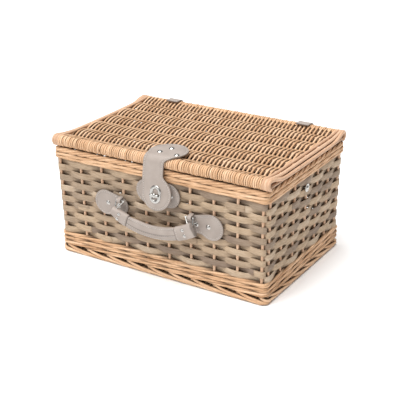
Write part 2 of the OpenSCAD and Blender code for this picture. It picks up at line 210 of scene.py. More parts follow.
def crevice(profile, shades, facing=1.0):
    """Painted shade per ring and profile point: darker towards the side that the neighbours hide.

    facing is 1 where the profile's second axis points out of the weave and -1 where it points in.
    """
    across = np.array(profile)[:, 1]
    inward = -np.atleast_1d(facing)[:, None] * across / np.abs(across).max()
    return np.maximum(np.asarray(shades)[:, None], 0.94 * smooth_step((inward + 0.52) / 1.1))


# ---------------------------------------------------------------- materials

class Nodes:
    """Small helper for building a material's node tree."""

    def __init__(self, name):
        self.material = bpy.data.materials.new(name)
        self.material.use_nodes = True
        self.tree = self.material.node_tree
        self.shader = self.tree.nodes["Principled BSDF"]

    def new(self, kind, inputs=None, **settings):
        node = self.tree.nodes.new(kind)
        for key, value in settings.items():
            setattr(node, key, value)
        for key, value in (inputs or {}).items():
            if hasattr(value, "links"):
                self.tree.links.new(value, node.inputs[key])
            else:
                node.inputs[key].default_value = value
        return node

    def link(self, source, socket):
        self.tree.links.new(source, self.shader.inputs[socket])

    def fix(self, socket, value):
        self.shader.inputs[socket].default_value = value

    def attribute(self, name, output="Fac"):
        return self.new("ShaderNodeAttribute", attribute_name=name).outputs[output]

    def grain(self, stretch):
        """The straightened coordinates of a strand, scaled so that noise runs along it."""
        source = self.attribute("grain", "Vector")
        return self.new("ShaderNodeVectorMath", {0: source, 1: stretch}, operation="MULTIPLY").outputs[0]

    def noise(self, vector, scale, detail=3.0, rough=0.5):
        inputs = {"Vector": vector, "Scale": scale, "Detail": detail, "Roughness": rough}
        return self.new("ShaderNodeTexNoise", inputs).outputs["Fac"]

    def shaded(self, colour, dark):
        """Darkens a colour with painted shade where the strand lies in a crevice."""
        return self.mix(self.attribute("shade"), colour, dark)

    def ramp(self, fac, stops):
        node = self.new("ShaderNodeValToRGB", {"Fac": fac})
        ramp = node.color_ramp
        while len(ramp.elements) < len(stops):
            ramp.elements.new(0.5)
        for element, (place, colour) in zip(ramp.elements, stops):
            element.position = place
            element.color = (*colour, 1)
        return node.outputs["Color"]

    def mix(self, fac, a, b, blend="MIX"):
        a, b = (value if hasattr(value, "links") else (*value, 1) for value in (a, b))
        return self.new("ShaderNodeMix", {0: fac, 6: a, 7: b}, data_type="RGBA", blend_type=blend).outputs[2]

    def math(self, operation, a, b=0.0):
        return self.new("ShaderNodeMath", {0: a, 1: b}, operation=operation).outputs[0]

    def remap(self, value, low, high, to_low, to_high):
        inputs = {"Value": value, "From Min": low, "From Max": high, "To Min": to_low, "To Max": to_high}
        return self.new("ShaderNodeMapRange", inputs).outputs[0]

    def bump(self, height, strength, distance, normal=None):
        inputs = {"Height": height, "Strength": strength, "Distance": distance}
        if normal is not None:
            inputs["Normal"] = normal
        return self.new("ShaderNodeBump", inputs).outputs[0]


def wood_material(name, stops, streak, spots, roughness, bump):
    """Peeled willow or split chip: tone per strand, streaks along it, small dark bud scars."""
    n = Nodes(name)
    tone = n.attribute("tone")
    patch = n.noise(n.grain((1, 1, 1)), 22, 2)
    mixed = n.math("ADD", tone, n.remap(patch, 0.3, 0.7, -0.16, 0.16))
    colour = n.ramp(mixed, stops)
    fibres = n.noise(n.grain((0.12, 1, 1)), 900, 4, 0.6)
    colour = n.mix(streak, colour, n.ramp(fibres, [(0.3, (0.42, 0.33, 0.25)), (0.62, (1, 1, 1))]), "MULTIPLY")
    scars = n.new("ShaderNodeTexVoronoi", {"Vector": n.grain((0.45, 1, 1)), "Scale": 60.0}).outputs["Distance"]
    scar = n.remap(scars, 0.03, 0.09, spots, 0)
    colour = n.mix(scar, colour, (0.16, 0.08, 0.035))
    # painted shade: the colour goes dark where the strand lies in a crevice
    colour = n.shaded(colour, (0.045, 0.022, 0.012))
    n.link(colour, "Base Color")
    n.link(n.remap(fibres, 0.3, 0.7, roughness + 0.08, roughness - 0.06), "Roughness")
    n.link(n.bump(fibres, bump, 0.0006), "Normal")
    n.fix("Specular IOR Level", 0.26)
    return n.material


def leather_material(name, low, high, edge, roughness=0.52):
    """Smooth coated leather with a fine pebble; tone 1 marks the dark painted edge."""
    n = Nodes(name)
    where = n.grain((1, 1, 1))
    tone = n.attribute("tone")
    cloud = n.noise(where, 45, 3)
    colour = n.mix(n.remap(cloud, 0.3, 0.7, 0, 1), low, high)
    cells = n.new("ShaderNodeTexVoronoi", {"Vector": where, "Scale": 1100.0}, feature="SMOOTH_F1")
    pebble = cells.outputs["Distance"]
    colour = n.mix(n.remap(pebble, 0.25, 0.75, 0, 0.16), colour, [c * 0.7 for c in low])
    colour = n.mix(n.remap(tone, 0.6, 1.0, 0, 1), colour, edge)
    # painted shade: the colour goes dark in the leather's grooves and creases
    colour = n.shaded(colour, [c * 0.22 for c in low])
    n.link(colour, "Base Color")
    n.link(n.remap(cloud, 0.3, 0.7, roughness - 0.05, roughness + 0.07), "Roughness")
    crease = n.noise(where, 260, 4, 0.6)
    n.link(n.bump(pebble, 0.22, 0.0003, n.bump(crease, 0.12, 0.0005)), "Normal")
    n.fix("Specular IOR Level", 0.45)
    return n.material


def thread_material(name, colour):
    n = Nodes(name)
    twist = n.noise(n.grain((1, 2, 2)), 1800, 2)
    n.link(n.ramp(twist, [(0.3, [c * 0.75 for c in colour]), (0.7, colour)]), "Base Color")
    n.link(n.bump(twist, 0.4, 0.0003), "Normal")
    n.fix("Roughness", 0.75)
    return n.material


def metal_material(name, colour, roughness):
    """Polished nickel plate, a little uneven, with faint handling marks."""
    n = Nodes(name)
    place = n.new("ShaderNodeTexCoord").outputs["Object"]
    marks = n.noise(place, 380, 4, 0.7)
    n.link(n.mix(n.remap(marks, 0.35, 0.75, 0, 0.35), colour, [c * 0.72 for c in colour]), "Base Color")
    n.link(n.remap(marks, 0.3, 0.7, roughness - 0.05, roughness + 0.12), "Roughness")
    n.link(n.bump(marks, 0.05, 0.0004), "Normal")
    n.fix("Metallic", 1.0)
    return n.material


willow = wood_material(
    "willow",
    [(0.0, (0.40, 0.20, 0.095)), (0.3, (0.62, 0.37, 0.205)), (0.6, (0.77, 0.495, 0.295)), (1.0, (0.90, 0.63, 0.42))],
    streak=0.5, spots=0.75, roughness=0.5, bump=0.25,
)
willow_rod = wood_material(
    "willow_rod",
    [(0.0, (0.42, 0.23, 0.14)), (0.4, (0.62, 0.39, 0.25)), (1.0, (0.76, 0.52, 0.355))],
    streak=0.45, spots=0.5, roughness=0.5, bump=0.25,
)
chip_wood = wood_material(
    "chip_wood",
    [
        (0.0, (0.27, 0.20, 0.15)), (0.25, (0.37, 0.28, 0.20)), (0.5, (0.45, 0.335, 0.23)),
        (0.75, (0.52, 0.39, 0.265)), (1.0, (0.57, 0.455, 0.34)),
    ],
    streak=0.55, spots=0.25, roughness=0.62, bump=0.4,
)
leather = leather_material("leather", (0.335, 0.28, 0.245), (0.405, 0.345, 0.305), (0.19, 0.16, 0.14))
thread = thread_material("thread", (0.60, 0.55, 0.50))
nickel = metal_material("nickel", (0.50, 0.485, 0.46), 0.2)
SLOT_MATERIALS = {
    "willow": [willow], "willow_rod": [willow_rod], "chip": [chip_wood], "leather": [leather, thread],
    "metal": [nickel],
}


def finish_piece(obj, body, slot_name, *nodes):
    """Rides a piece on its body, or bakes its placement into its mesh when the body is not a name, and hides the
    solids that it stands for.
    """
    if isinstance(body, str):
        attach(obj, body)
    else:
        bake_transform(obj)
    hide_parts(*nodes)
    return obj


# ---------------------------------------------------------------- the wall as a coordinate system

foot_lo, foot_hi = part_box("foot_border")
rim_lo, rim_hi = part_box("rim_border")
CORNER_R = 10 * MM
REF_Z = (foot_hi.z + rim_hi.z) / 2


def half_dims(z):
    """Half width and half depth of the wall's nominal outer face at height z."""
    t = (z - foot_hi.z) / (rim_hi.z - foot_hi.z)
    return foot_hi.x + t * (rim_hi.x - foot_hi.x), foot_hi.y + t * (rim_hi.y - foot_hi.y)


REF_W, REF_D = (h - CORNER_R for h in half_dims(REF_Z))
QUARTER = CORNER_R * pi / 2
# Lengths of the eight stretches of the outline, from the left end of the front wall
STRETCHES = [2 * REF_W, QUARTER, 2 * REF_D, QUARTER] * 2
STARTS = [sum(STRETCHES[:i]) for i in range(9)]
PERIMETER = STARTS[-1]


def wall_point(s, z, depth):
    """The point at distance s round the outline and height z, depth inside the outer face."""
    s = s % PERIMETER
    part = min(bisect.bisect_right(STARTS, s) - 1, 7)
    t = (s - STARTS[part]) / STRETCHES[part]
    half_w, half_d = half_dims(z)
    w, d = half_w - CORNER_R, half_d - CORNER_R
    corners = [(w, -d), (w, d), (-w, d), (-w, -d)]
    side = part // 2
    if part % 2:
        angle = radians(90 * (side - 1 + t))
        cx, cy = corners[side]
    else:
        angle = radians(90 * (side - 1))
        x0, y0 = corners[side - 1]
        x1, y1 = corners[side]
        cx, cy = x0 + (x1 - x0) * t, y0 + (y1 - y0) * t
    reach = CORNER_R - depth
    return cx + reach * cos(angle), cy + reach * sin(angle), z


# Number of stakes in the front, right, back and left walls, and the radius that their solids have
SIDE_STAKES = [10, 7, 10, 7]
SOLID_STAKE_R = 2 * MM


def stake_stations():
    """Distances round the outline at which the stakes stand."""
    front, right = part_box("stakes_front")[1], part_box("stakes_right")[1]
    sides = [(front.x - SOLID_STAKE_R, REF_W), (right.y - SOLID_STAKE_R, REF_D)] * 2
    stations = []
    for side, (count, (reach, half)) in enumerate(zip(SIDE_STAKES, sides)):
        for i in range(count):
            at = -reach + 2 * reach * i / (count - 1)
            stations.append(STARTS[2 * side] + min(max(half + at, 0), 2 * half))
    return stations


STATIONS = stake_stations()
STAKE_COUNT = len(STATIONS)
STAKE_DEPTH = 5.0 * MM
STAKE_R = 2.25 * MM


def station(u):
    """Distance round the outline at stake number u; u may be between two stakes."""
    lap, rest = divmod(u, STAKE_COUNT)
    i = int(rest)
    a = STATIONS[i]
    b = STATIONS[i + 1] if i + 1 < STAKE_COUNT else STATIONS[0] + PERIMETER
    return lap * PERIMETER + a + (b - a) * (rest - i)


# ---------------------------------------------------------------- basket walls

def build_stakes():
    """Upright willow stakes, seen wherever a chip passes behind them."""
    for side, node in enumerate(("stakes_front", "stakes_right", "stakes_back", "stakes_left")):
        rng = random.Random(300 + side)
        strands = Strands()
        lo, hi = foot_hi.z - 5 * MM, rim_lo.z + 4 * MM
        ref = (0, 1, 0) if side % 2 else (1, 0, 0)
        first = sum(SIDE_STAKES[:side])
        for at in STATIONS[first:first + SIDE_STAKES[side]]:
            sway = rng.uniform(-0.5, 0.5) * MM
            bowed = [(at + sway * sin(pi * (z - lo) / (hi - lo)), z) for z in np.linspace(lo, hi, 24)]
            path = [wall_point(s, z, STAKE_DEPTH) for s, z in bowed]
            size = STAKE_R * rng.uniform(0.94, 1.06)
            strands.rod(rng, path, size, ref, 10, tone=rng.uniform(0.45, 0.95))
        strands.finish("woven_" + node, "basket", "willow_rod", node)


CHIP_ROWS = 14
CHIP_THICK = 1.15 * MM


def build_chips():
    """Flat chips woven in front of one stake and behind the next, each row opposite to its neighbours."""
    rng = random.Random(41)
    strands = Strands()
    lo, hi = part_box("chip_weave")
    pitch = (hi.z - lo.z) / CHIP_ROWS
    swing = STAKE_R + CHIP_THICK / 2
    steps = 10
    for row in range(CHIP_ROWS):
        z_row = lo.z + (row + 0.5) * pitch
        # each row is pieced from several chips whose ends hide behind a stake
        start = rng.randrange(STAKE_COUNT // 2) * 2 + row % 2
        lengths = rng.choice([(10, 12, 12), (14, 8, 12), (12, 14, 8), (8, 12, 14)])
        at = start
        for piece, length in enumerate(lengths):
            width = pitch * rng.uniform(1.12, 1.17)
            tone = min(max(rng.gauss(0.5, 0.2), 0.05), 0.95)
            drift = rng.uniform(-0.15, 0.15) * MM
            wobble = [rng.uniform(-0.16, 0.16) * MM for _ in range(length + 3)]
            us = np.arange(at - 0.3, at + length + 0.3 + 1e-6, 1 / steps)
            lap_shift = (0.35 if piece % 2 else -0.25) * CHIP_THICK

            def z_of(u):
                k = u - at + 1
                i = min(max(int(k), 0), length + 1)
                blend = smooth_step(k - i)
                return z_row + drift + wobble[i] * (1 - blend) + wobble[i + 1] * blend

            def depth_of(u):
                ends = min(abs(u - at), abs(u - at - length))
                lap = lap_shift * (1 - smooth_step(ends / 0.6))
                wave = cos(pi * (u - row))
                flat = copysign(abs(wave) ** 0.8, wave)
                return STAKE_DEPTH - swing * flat + lap

            path = np.array([wall_point(station(u), z_of(u), depth_of(u)) for u in us])
            path = path[np.concatenate([[True], np.linalg.norm(np.diff(path, axis=0), axis=1) > 1e-5])]
            # painted shade: a chip goes dark where it passes behind a stake
            behind = np.array([max(-cos(pi * (u - row)), 0) for u in us[:len(path)]])
            strands.sweep(
                path, chip_profile(width, CHIP_THICK), (0, 0, 1), tone=tone, shade=0.55 * behind ** 2,
                offset=rng.uniform(0, 9),
            )
            at += length
    strands.finish("woven_chips", "basket", "chip", "chip_weave")


# A strand of waling passes in front of two stakes and behind one, and this part of its course is in front
WALE_SPAN = 3
WALE_FRONT = 0.72


def wale_rounds(strands, rng, z_centres, rise, radius, mean_depth, swing):
    """Rounds of three strands: each climbs in front of the stakes and comes down behind."""
    cycles = STAKE_COUNT // WALE_SPAN
    steps = 12 * WALE_SPAN
    for z_mid in z_centres:
        for k in range(WALE_SPAN):
            shift = k / WALE_SPAN + rng.uniform(-0.04, 0.04)
            # painted shade: a strand goes dark where it turns to pass behind the stakes, darkest behind them
            us, zs, depths, shades = [], [], [], []
            for i in range(cycles * steps):
                phase = (i / steps + shift) % 1.0
                front = phase / WALE_FRONT
                if front < 1:
                    zs.append(z_mid - rise + 2 * rise * smooth_step(front))
                    depths.append(mean_depth - swing * sin(pi * front) ** 0.6)
                    shades.append(0.7 * (1 - min(front, 1 - front, 0.2) / 0.2))
                else:
                    back = (phase - WALE_FRONT) / (1 - WALE_FRONT)
                    zs.append(z_mid + rise - 2 * rise * smooth_step(back))
                    depths.append(mean_depth + swing * sin(pi * back) ** 0.8)
                    shades.append(0.7 + 0.2 * sin(pi * back))
                us.append(i / (cycles * steps) * PERIMETER)
            path = [wall_point(s, z, d) for s, z, d in zip(us, zs, depths)]
            tones = rng.uniform(0.35, 0.75) + 0.12 * np.sin(np.arange(len(path)) / steps * 2.1 + rng.uniform(0, 6))
            size = radius * rng.uniform(0.92, 1.06)
            strands.rod(rng, path, size, (0, 0, 1), shades=shades, closed=True, tone=tones)


def build_bottom_wale():
    rng = random.Random(52)
    strands = Strands()
    lo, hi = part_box("bottom_wale")
    rounds = 3
    centres = [lo.z + (hi.z - lo.z) * (i + 0.5) / rounds for i in range(rounds)]
    wale_rounds(strands, rng, centres, rise=2.6 * MM, radius=2.15 * MM, mean_depth=4.3 * MM, swing=2.7 * MM)
    strands.finish("woven_bottom_wale", "basket", "willow", "bottom_wale")


def build_top_wale():
    rng = random.Random(63)
    strands = Strands()
    middle = box_middle("top_wale")[2]
    centres = [middle - 2.2 * MM, middle + 2.6 * MM]
    wale_rounds(strands, rng, centres, rise=1.4 * MM, radius=2.3 * MM, mean_depth=4.6 * MM, swing=2.4 * MM)
    core_round(strands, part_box("top_wale")[1].z, 6.8 * MM)
    strands.finish("woven_top_wale", "basket", "willow", "top_wale")


TURN_STEPS = 14


def rope_round(strands, rng, z_mid, depth, core, radius, count, turns, tone):
    """Strands wound round each other all the way round the basket."""
    steps = turns * TURN_STEPS
    for k in range(count):
        # painted shade: a strand goes dark where it winds round to the back
        path, shades = [], []
        for i in range(steps):
            s = PERIMETER * i / steps
            angle = 2 * pi * (i / TURN_STEPS + k / count)
            path.append(wall_point(s, z_mid + core * sin(angle), depth - core * cos(angle)))
            shades.append(0.7 * smooth_step(-cos(angle) + 0.1))
        size = radius * rng.uniform(0.94, 1.06)
        own_tone = tone + rng.uniform(-0.15, 0.15)
        strands.rod(rng, path, size, (0, 0, 1), shades=shades, closed=True, tone=own_tone)


CORE_R = 2.4 * MM


def core_round(strands, z, depth, steps=240):
    """A plain round of willow behind a border, which closes the gaps in it; a low tone and painted shade keep it
    dark.
    """
    path = [wall_point(PERIMETER * i / steps, z, depth) for i in range(steps)]
    strands.sweep(path, round_profile(CORE_R), (0, 0, 1), closed=True, tone=0.3, shade=0.45)


def build_rim():
    """The rim border: strands laid over each other like a rope."""
    rng = random.Random(74)
    strands = Strands()
    z_mid = box_middle("rim_border")[2] - 0.3 * MM
    rope_round(strands, rng, z_mid, depth=4.9 * MM, core=2.45 * MM, radius=2.2 * MM, count=4, turns=17, tone=0.5)
    core_round(strands, rim_lo.z + 3.2 * MM, 6.4 * MM)
    strands.finish("woven_rim", "basket", "willow", "rim_border")


def build_foot():
    """The foot border: each stake end slants down across the next and runs along the ground."""
    rng = random.Random(85)
    strands = Strands()
    # stake number, and height and depth in mm, along one strand from inside the wale to under the basket
    course = [
        (-0.3, 16.0, 7.0), (0.0, 12.6, 3.6), (0.3, 9.2, 1.6), (0.8, 6.2, 1.0), (1.4, 3.8, 1.1), (2.0, 2.4, 2.0),
        (2.5, 2.4, 4.4), (2.9, 3.5, 7.5),
    ]
    knots = np.array(course)
    kernel = np.ones(7) / 7
    ts = np.linspace(0, len(course) - 1, 44)
    curve = [np.interp(ts, range(len(course)), column) for column in knots.T]
    us, zs, depths = (np.convolve(np.pad(c, 3, mode="edge"), kernel, "valid") for c in curve)
    # painted shade: a strand goes dark the deeper it lies in the border
    shades = 0.75 * smooth_step((depths - 1.9) / 3.5)
    for i in range(STAKE_COUNT):
        lift = rng.uniform(-0.25, 0.25) * MM
        path = [wall_point(station(i + u), z * MM + lift, d * MM) for u, z, d in zip(us, zs, depths)]
        size = 2.4 * MM * rng.uniform(0.95, 1.05)
        strands.rod(rng, path, size, (0, 0, 1), shades=shades, tone=rng.uniform(0.4, 0.9), dome=1 * MM)
        # cut ends of the bent stakes, standing behind the border, kept dark with a low tone and painted shade
        for k in range(4):
            at = station(i + 0.2 + 0.2 * k)
            ends = [wall_point(at, z * MM, 6.4 * MM) for z in (4.0, 9.0, 14.0)]
            strands.sweep(ends, round_profile(1.1 * MM, 6), (0, 1, 0.1), tone=0.3, shade=0.55)
    core_round(strands, 4.4 * MM, 8.2 * MM)
    strands.finish("woven_foot", "basket", "willow", "foot_border")


# ---------------------------------------------------------------- woven fields of rods: lid and base

def ease_path(points, rounds):
    """Rounds off the corners of an open path of (y, z) points; the two ends stay."""
    points = np.array(points, float)
    for _ in range(rounds):
        points[1:-1] = (points[:-2] + 2 * points[1:-1] + points[2:]) / 4
    return points


def woven_rod(strands, rng, x, radius, start, sticks, swing, z_mid, over, tone, push=0.0):
    """One rod along Y, over the first stick or under it, then in turn; start is its front end.

    push is how far its middle is pushed sideways.
    """
    rear = [(-y, z) for y, z in reversed(start)]
    knots = [start[-1]]
    for k, y in enumerate(sticks):
        knots.append((y, z_mid + (1 if (k % 2 == 0) == over else -1) * swing))
    knots.append(rear[0])
    points = list(start[:-1])
    for (y0, z0), (y1, z1) in zip(knots, knots[1:]):
        for t in np.linspace(0, 1, 10)[:-1]:
            bend = 0.5 - 0.5 * cos(pi * t)
            points.append((y0 + (y1 - y0) * t, z0 + (z1 - z0) * bend))
    points += list(rear)
    points = ease_path(points, 2)
    lean, bow = rng.uniform(-0.5, 0.5) * MM, rng.uniform(-0.35, 0.35) * MM + push
    n = len(points)
    path = [(x + lean * (j / n - 0.5) + bow * sin(pi * j / n), y, z) for j, (y, z) in enumerate(points)]
    ends = rng.uniform(0.03, 0.1) * rng.choice((-1, 1))
    taper = np.linspace(1 + ends, 1 - ends, n)[:, None]
    # out of the weave is up, and away from the rail where the rod goes round it
    field = smooth_step((sticks[-1] * 1.3 - np.abs(points[:, 0])) / (8 * MM))
    # painted shade: within the field, a rod goes dark where it dips below the middle of the weave
    shades = 0.92 * field * smooth_step((z_mid - points[:, 1]) / swing * 0.8 + 0.25)
    from_rail = np.column_stack([np.abs(points[:, 0]) - RAIL_Y, points[:, 1] - RAIL_Z])
    from_rail[:, 0] *= np.sign(points[:, 0])
    out = np.where(field[:, None] > 0, [0.0, 1.0], unit(from_rail + 1e-9))
    tangent = tangents(points)
    facing = (out * np.column_stack([tangent[:, 1], -tangent[:, 0]])).sum(1)
    strands.rod(rng, path, radius, (1, 0, 0), shades=shades, facing=facing, scale=taper, tone=tone)


field_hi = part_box("lid_weave")[1]
RAIL_Y, RAIL_Z = -box_middle("lid_front_rail")[1], box_middle("lid_front_rail")[2]
RAIL_R = box_half("lid_front_rail")[2]
WRAP_OUT = field_hi.y - RAIL_Y
ROD_R = 1.7 * MM
LID_RODS, BASE_RODS = 102, 146
STICKS = 5
STICK_Y = [-RAIL_Y + 2 * RAIL_Y * (k + 1) / (STICKS + 1) for k in range(STICKS)]
STICK_Z = box_middle("lid_sticks")[2]
STICK_R = box_half("lid_sticks")[2]


def round_front_rail(reach, first, last, count=22):
    """Points (y, z) round the front rail; 0 degrees is its inner side, 90 its top, 180 its front."""
    angles = np.radians(np.linspace(first, last, count))
    return [(-RAIL_Y + reach * cos(a), RAIL_Z + reach * sin(a)) for a in angles]


BULGE = 2.4 * MM


def left_bulge(x):
    """How far a rod at x is pushed out in the middle, since the lid's left end bulges a little."""
    return -BULGE * smooth_step((-x / MM - 90) / 90)


def build_lid_rods():
    rng = random.Random(96)
    strands = Strands()
    span = field_hi.x - ROD_R
    reach = WRAP_OUT - ROD_R
    swing = STICK_R + ROD_R * 0.9
    for i, x in rod_places(rng, span, LID_RODS, 0.25):
        over = i % 2 == 0
        # a rod that climbs over the first stick comes from below the rail, the next one from its top
        own_reach = reach + rng.uniform(-0.45, 0.1) * MM
        start = round_front_rail(own_reach, 40, 315) if over else round_front_rail(own_reach, 315, 66)
        size = ROD_R * rng.uniform(0.88, 1.08)
        tone = min(max(rng.gauss(0.6, 0.17), 0.1), 1.0)
        woven_rod(strands, rng, x, size, start, STICK_Y, swing, STICK_Z, over, tone, left_bulge(x))
    strands.finish("lid_rods", "lid", "willow", "lid_weave")


def rod_places(rng, span, count, jitter):
    """The numbers and the uneven places of rods from -span to span, each drawn when it is asked for."""
    for i in range(count):
        yield i, -span + 2 * span * i / (count - 1) + rng.uniform(-jitter, jitter) * MM


def stick_path(rng, y, z, reach, bow):
    """A stick from end to end of the lid or base, bent a little by bow at most."""
    a, b = rng.uniform(-bow, bow), rng.uniform(-bow, bow)
    return [
        (x, y + a * sin(pi * (x / reach + 1) / 2), z + b * sin(pi * (x / reach + 1)))
        for x in np.linspace(-reach, reach, 40)
    ]


def build_lid_sticks():
    rng = random.Random(107)
    strands = Strands()
    for y in STICK_Y:
        path = stick_path(rng, y, STICK_Z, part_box("lid_sticks")[1].x, 0.3 * MM)
        strands.rod(rng, path, STICK_R, (0, 0, 1), 12, tone=rng.uniform(0.5, 0.9))
    strands.finish("lid_cross_sticks", "lid", "willow_rod", "lid_sticks")
    for node, side in (("lid_front_rail", -1), ("lid_rear_rail", 1)):
        strands = Strands()
        path = stick_path(rng, side * RAIL_Y, RAIL_Z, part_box("lid_front_rail")[1].x, 0.1 * MM)
        strands.rod(rng, path, RAIL_R, (0, 0, 1), 16, tone=0.6, dome=1 * MM)
        strands.finish(node + "_wood", "lid", "willow_rod", node)


def build_side_rods():
    """Thick smooth rods that close the lid's two ends, turned down round both rails."""
    for side, node in ((-1, "lid_side_rods_left"), (1, "lid_side_rods_right")):
        rng = random.Random(118 + side)
        lo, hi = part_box(node)
        outer, inner = max(abs(lo.x), abs(hi.x)), min(abs(lo.x), abs(hi.x))
        strands = Strands()
        # distance from the middle, radius, height of the straight run, how far it turns in at the corners
        rods = [
            (outer - 2.0 * MM, 2.9 * MM, RAIL_Z - 1.8 * MM, 2.0 * MM),
            ((outer + inner) / 2 + 1.0 * MM, 2.8 * MM, RAIL_Z + 3.2 * MM, 1.6 * MM),
            (inner + 2.4 * MM, 2.5 * MM, RAIL_Z + 5.4 * MM, 0.0),
            (outer - 6.5 * MM, 2.6 * MM, RAIL_Z - 5.6 * MM, 2.5 * MM),
        ]
        for x, size, z_run, turn_in in rods:
            reach = WRAP_OUT - size + 0.3 * MM
            start = round_front_rail(reach, 262, 78, 20)
            rear = [(-y, z) for y, z in reversed(start)]
            y0 = start[-1][0]
            top = start[-1][1]
            run = []
            for t in np.linspace(0, 1, 44)[1:-1]:
                near = smooth_step(min(t, 1 - t) / 0.16)
                run.append((y0 - 2 * y0 * t, top + (z_run - top) * near))
            points = ease_path(start + run + rear, 4)
            bow = rng.uniform(-0.6, 0.2) * MM - side * left_bulge(side * x)
            path = []
            for y, z in points:
                corner = smooth_step((abs(y) / MM - 106) / 26)
                shift = bow * cos(pi * y / (2 * RAIL_Y)) - turn_in * corner
                path.append((side * (x + shift), y, z))
            strands.rod(rng, path, size, (1, 0, 0), 12, tone=rng.uniform(0.5, 0.85), dome=0.6 * MM)
        # straight rods that fill the space below, from rail to rail, with a little painted shade
        for x, z in ((outer - 5.2 * MM, RAIL_Z - 4.4 * MM), (outer - 9.5 * MM, RAIL_Z - 0.6 * MM)):
            path = [(side * x, RAIL_Y * t, z) for t in np.linspace(-1, 1, 30)]
            tone = rng.uniform(0.3, 0.6)
            strands.sweep(path, round_profile(2.7 * MM, 12), (1, 0, 0), tone=tone, shade=0.15, dome=0.6 * MM)
        strands.finish(node + "_wood", "lid", "willow_rod", node)


def build_base():
    """The floor of the basket: thin rods woven over and under cross sticks."""
    rng = random.Random(129)
    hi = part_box("base_panel")[1]
    z_mid = box_middle("base_panel")[2]
    stick_r, rod_r = 2.0 * MM, 1.3 * MM
    sticks_lo, sticks_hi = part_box("base_sticks")
    first = sticks_lo.y + 2.5 * MM
    sticks = [first + (-2 * first) * k / (STICKS - 1) for k in range(STICKS)]
    strands = Strands()
    span = hi.x - rod_r
    ends = hi.y + 1.5 * MM
    for i, x in rod_places(rng, span, BASE_RODS, 0.15):
        tone = rng.uniform(0.2, 0.8)
        start = [(-ends, z_mid), (-ends + 1 * MM, z_mid)]
        woven_rod(strands, rng, x, rod_r, start, sticks, (stick_r + rod_r) * 0.93, z_mid, i % 2 == 0, tone)
    strands.finish("base_rods", "basket", "willow", "base_panel")
    strands = Strands()
    for y in sticks:
        path = stick_path(rng, y, z_mid, sticks_hi.x + 1 * MM, 0.1 * MM)
        strands.rod(rng, path, stick_r, (0, 0, 1), 10, tone=0.5)
    strands.finish("base_cross_sticks", "basket", "willow_rod", "base_sticks")


# ---------------------------------------------------------------- leather

def arc(cx, cy, radius, a0, a1, count):
    """Points on an arc, angles in degrees."""
    angles = np.radians(np.linspace(a0, a1, count))
    return [(cx + radius * cos(a), cy + radius * sin(a)) for a in angles]


def inset(outline, distance):
    """A closed outline moved inwards; it runs anticlockwise."""
    points = np.array(outline)
    tangent = tangents(points, closed=True)
    return points + np.stack([-tangent[:, 1], tangent[:, 0]], 1) * distance


# Distances from a leather edge of the two rims and the bottom of the stitching groove
GROOVE = (2.4 * MM, 2.9 * MM, 3.4 * MM)
GROOVE_DEEP = 0.3 * MM
LEATHER_T = 2.8 * MM
LEATHER_EASE = 0.55 * MM
THREAD_R = 0.42 * MM
STITCH_PITCH = 3.6 * MM
STITCH_LENGTH = 2.5 * MM
STITCH_SUNK = 0.1 * MM


def plate(strands, outline, place):
    """A flat leather plate with eased edges. place maps (u, v, height) to the model's frame."""
    ease, thick = LEATHER_EASE, LEATHER_T
    low, mid, high = GROOVE
    # distance from the edge, height, tone and painted shade of each level, from the back to the face; the painted
    # shade darkens the stitching groove
    levels = [
        (ease * 0.7, 0, 0.6, 0.0), (0, ease, 0.85, 0.0), (0, thick - ease, 0.9, 0.0),
        (ease * 0.35, thick - ease * 0.3, 0.7, 0.0), (ease * 1.1, thick, 0.5, 0.0), (low, thick, 0.5, 0.05),
        (mid, thick - GROOVE_DEEP, 0.5, 0.75), (high, thick, 0.5, 0.05),
    ]
    rings, tones, shades = [], [], []
    for distance, height, tone, shade in levels:
        ring = inset(outline, distance) if distance else np.array(outline)
        rings.append(np.column_stack([ring, np.full(len(ring), height)]))
        tones += [tone] * len(ring)
        shades += [shade] * len(ring)
    n = len(outline)
    flat = np.concatenate(rings)
    faces = ring_faces(len(levels), n)
    last = (len(levels) - 1) * n
    faces.append(tuple(last + k for k in range(n)))
    faces.append(tuple(reversed(range(n))))
    verts = np.array([place(*p) for p in flat])
    strands.add(verts, flat + 3.0, np.array(tones), faces, shade=np.array(shades))


def stitches(strands, line, place, height, closed=True, mat=1):
    """A row of thread stitches along a line of (u, v) points."""
    points = np.array(line)
    if closed:
        points = np.vstack([points, points[:1]])
    along = distances(points)
    count = max(int(along[-1] / STITCH_PITCH), 1)
    sag = np.array([-0.25, 0.12, 0.2, 0.12, -0.25]) * MM
    for i in range(count):
        at = (i + 0.5) * along[-1] / count + np.linspace(-0.5, 0.5, 5) * STITCH_LENGTH
        us, vs = (np.interp(at, along, points[:, k]) for k in range(2))
        path = np.array([place(u, v, height + h) for u, v, h in zip(us, vs, sag)])
        normal = np.array(place(us[2], vs[2], height + 1)) - np.array(place(us[2], vs[2], height))
        strands.sweep(path, round_profile(THREAD_R, 6), normal, offset=i * 0.01, mat=mat, dome=0.1 * MM)


def front_place(x, z, out):
    """Maps (u, v, height) on a patch to the front wall: u right, v up the wall, height outwards."""
    def place(u, v, h):
        zz = z + v
        return (x + u, -(half_dims(zz)[1] + out + h), zz)
    return place


PATCH_OUT = -1.15 * MM


def build_patch(node, outline, x):
    """A stitched leather patch on the front wall."""
    place = front_place(x, box_middle(node)[2], PATCH_OUT)
    strands = Strands()
    plate(strands, outline, place)
    stitches(strands, inset(outline, GROOVE[1]), place, LEATHER_T - STITCH_SUNK)
    strands.finish(node + "_leather", "basket", "leather", node)


def build_lock_backing():
    half_width, _, radius = box_half("lock_backing")
    straight = half_width - radius
    outline = arc(straight, 0, radius, -90, 90, 32) + arc(-straight, 0, radius, 90, 270, 32)
    build_patch("lock_backing", outline, box_middle("lock_backing")[0])


